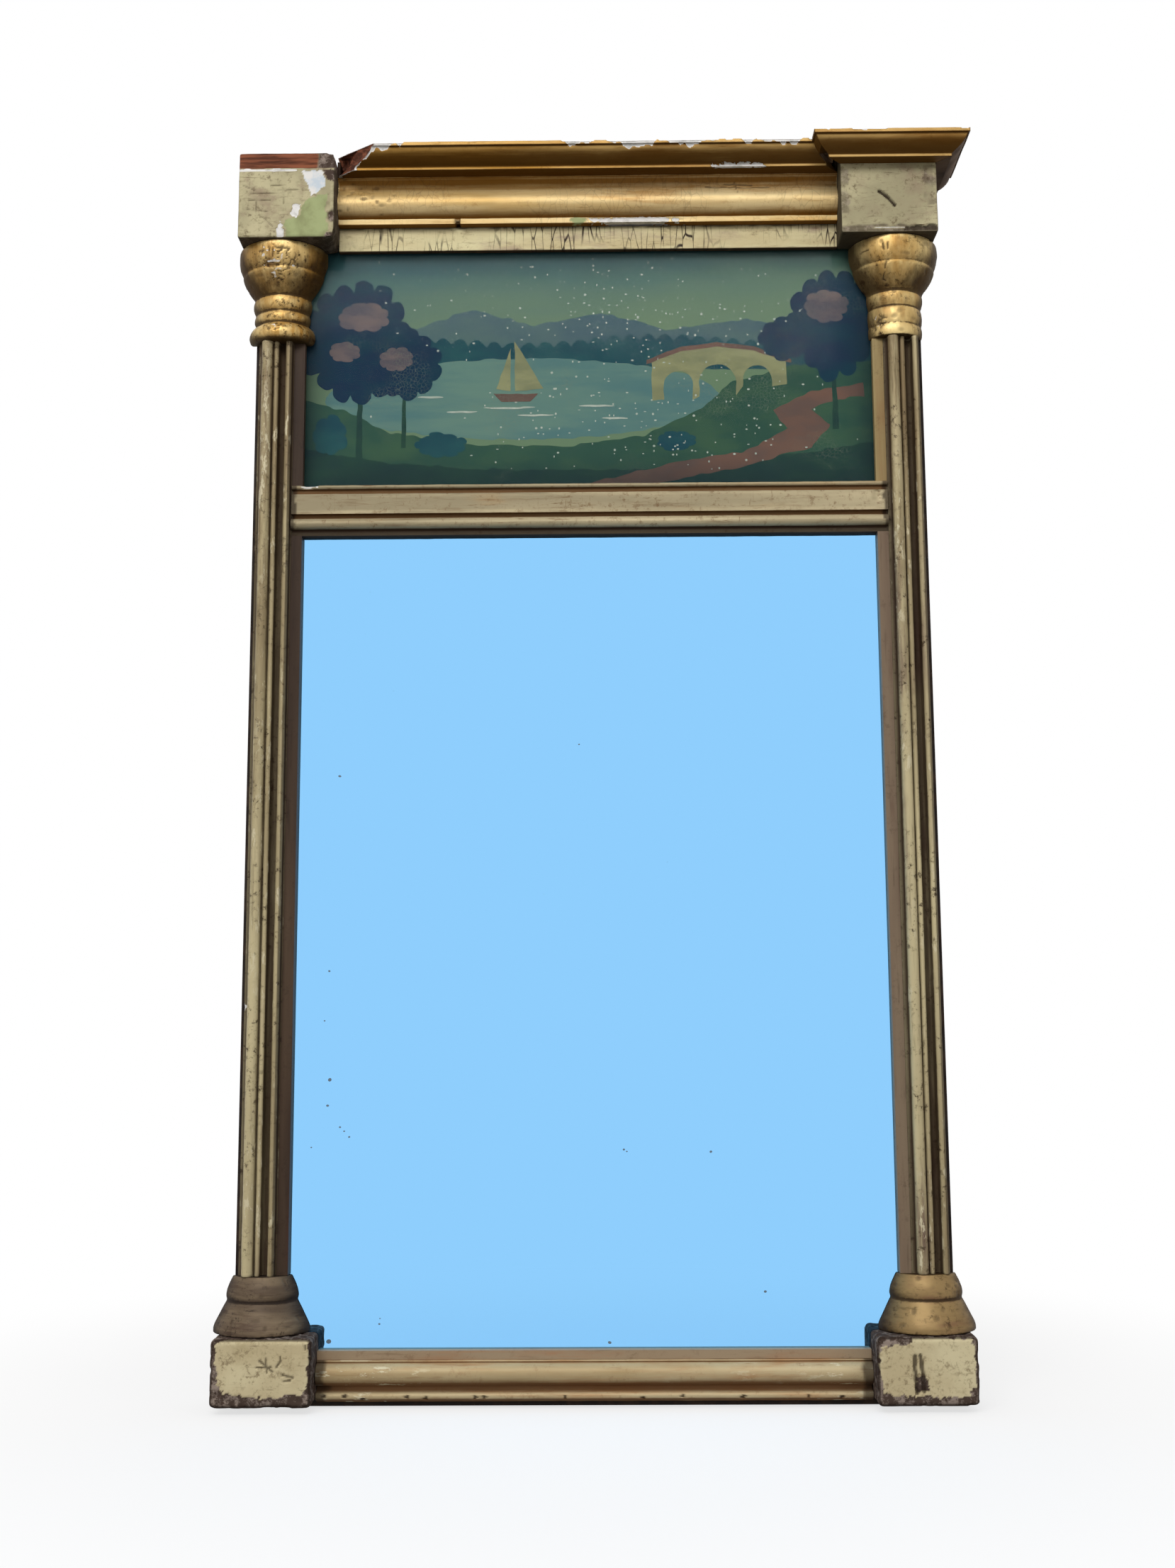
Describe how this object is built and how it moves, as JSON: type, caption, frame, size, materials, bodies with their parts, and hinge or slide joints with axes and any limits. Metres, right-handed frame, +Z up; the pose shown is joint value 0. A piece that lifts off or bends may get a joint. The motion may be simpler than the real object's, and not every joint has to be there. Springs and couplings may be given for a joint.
{
  "type": "pier mirror",
  "caption": "Upright wall mirror with a gilded column frame, corner blocks, an overhanging crown broken away at one corner, a painted glass panel above and a mirror plate below.",
  "frame": {"origin": "middle of the top rail's back face, on the wall plane", "axes": "+X to the viewer's right, +Y back into the wall, +Z up"},
  "size_m": [0.5508, 0.0715, 0.9175],
  "materials": {
    "gilt": "gilded gesso, worn",
    "gilt_pale": "pale worn gilding",
    "pine": "old bare pine, dark painted at the sides",
    "pane": "old clear glass",
    "paint": "oil paint film on the back of the glass",
    "silvered": "silvered plate",
    "brass": "dull brass",
    "iron": "blackened iron"
  },
  "bodies": {
    "root": {"capital_left": "gilt", "capital_right": "gilt", "base_left": "gilt", "base_right": "gilt", "crown_main": "gilt", "crown_inner_return": "gilt", "crown_break_front": "gilt", "crown_outer_return": "gilt", "frieze_moulding": "gilt", "block_upper_left": "gilt_pale", "block_upper_right": "gilt_pale", "block_lower_left": "gilt_pale", "block_lower_right": "gilt_pale", "shaft_left": "gilt_pale", "shaft_right": "gilt_pale", "frieze_liner": "gilt_pale", "mid_moulding": "gilt_pale", "foot_moulding": "gilt_pale", "slip_upper_left": "gilt_pale", "slip_upper_right": "gilt_pale", "slip_lower_left": "gilt_pale", "slip_lower_right": "gilt_pale", "slip_foot": "gilt_pale", "stile_left": "pine", "stile_right": "pine", "top_rail": "pine", "divider_rail": "pine", "foot_rail": "pine", "backboard_upper": "pine", "backboard_lower_left": "pine", "backboard_lower_right": "pine", "glass_blocks_upper": "pine", "glass_blocks_lower": "pine", "crown_glue_blocks": "pine", "crown_return_filler": "pine", "block_dowels": "pine", "painted_glass": "pane", "paint_film": "paint", "mirror_plate": "silvered", "hanger_left": "brass", "hanger_right": "brass", "hanger_screws": "brass", "nails_upper": "iron", "nails_lower": "iron"}
  },
  "joints": []
}
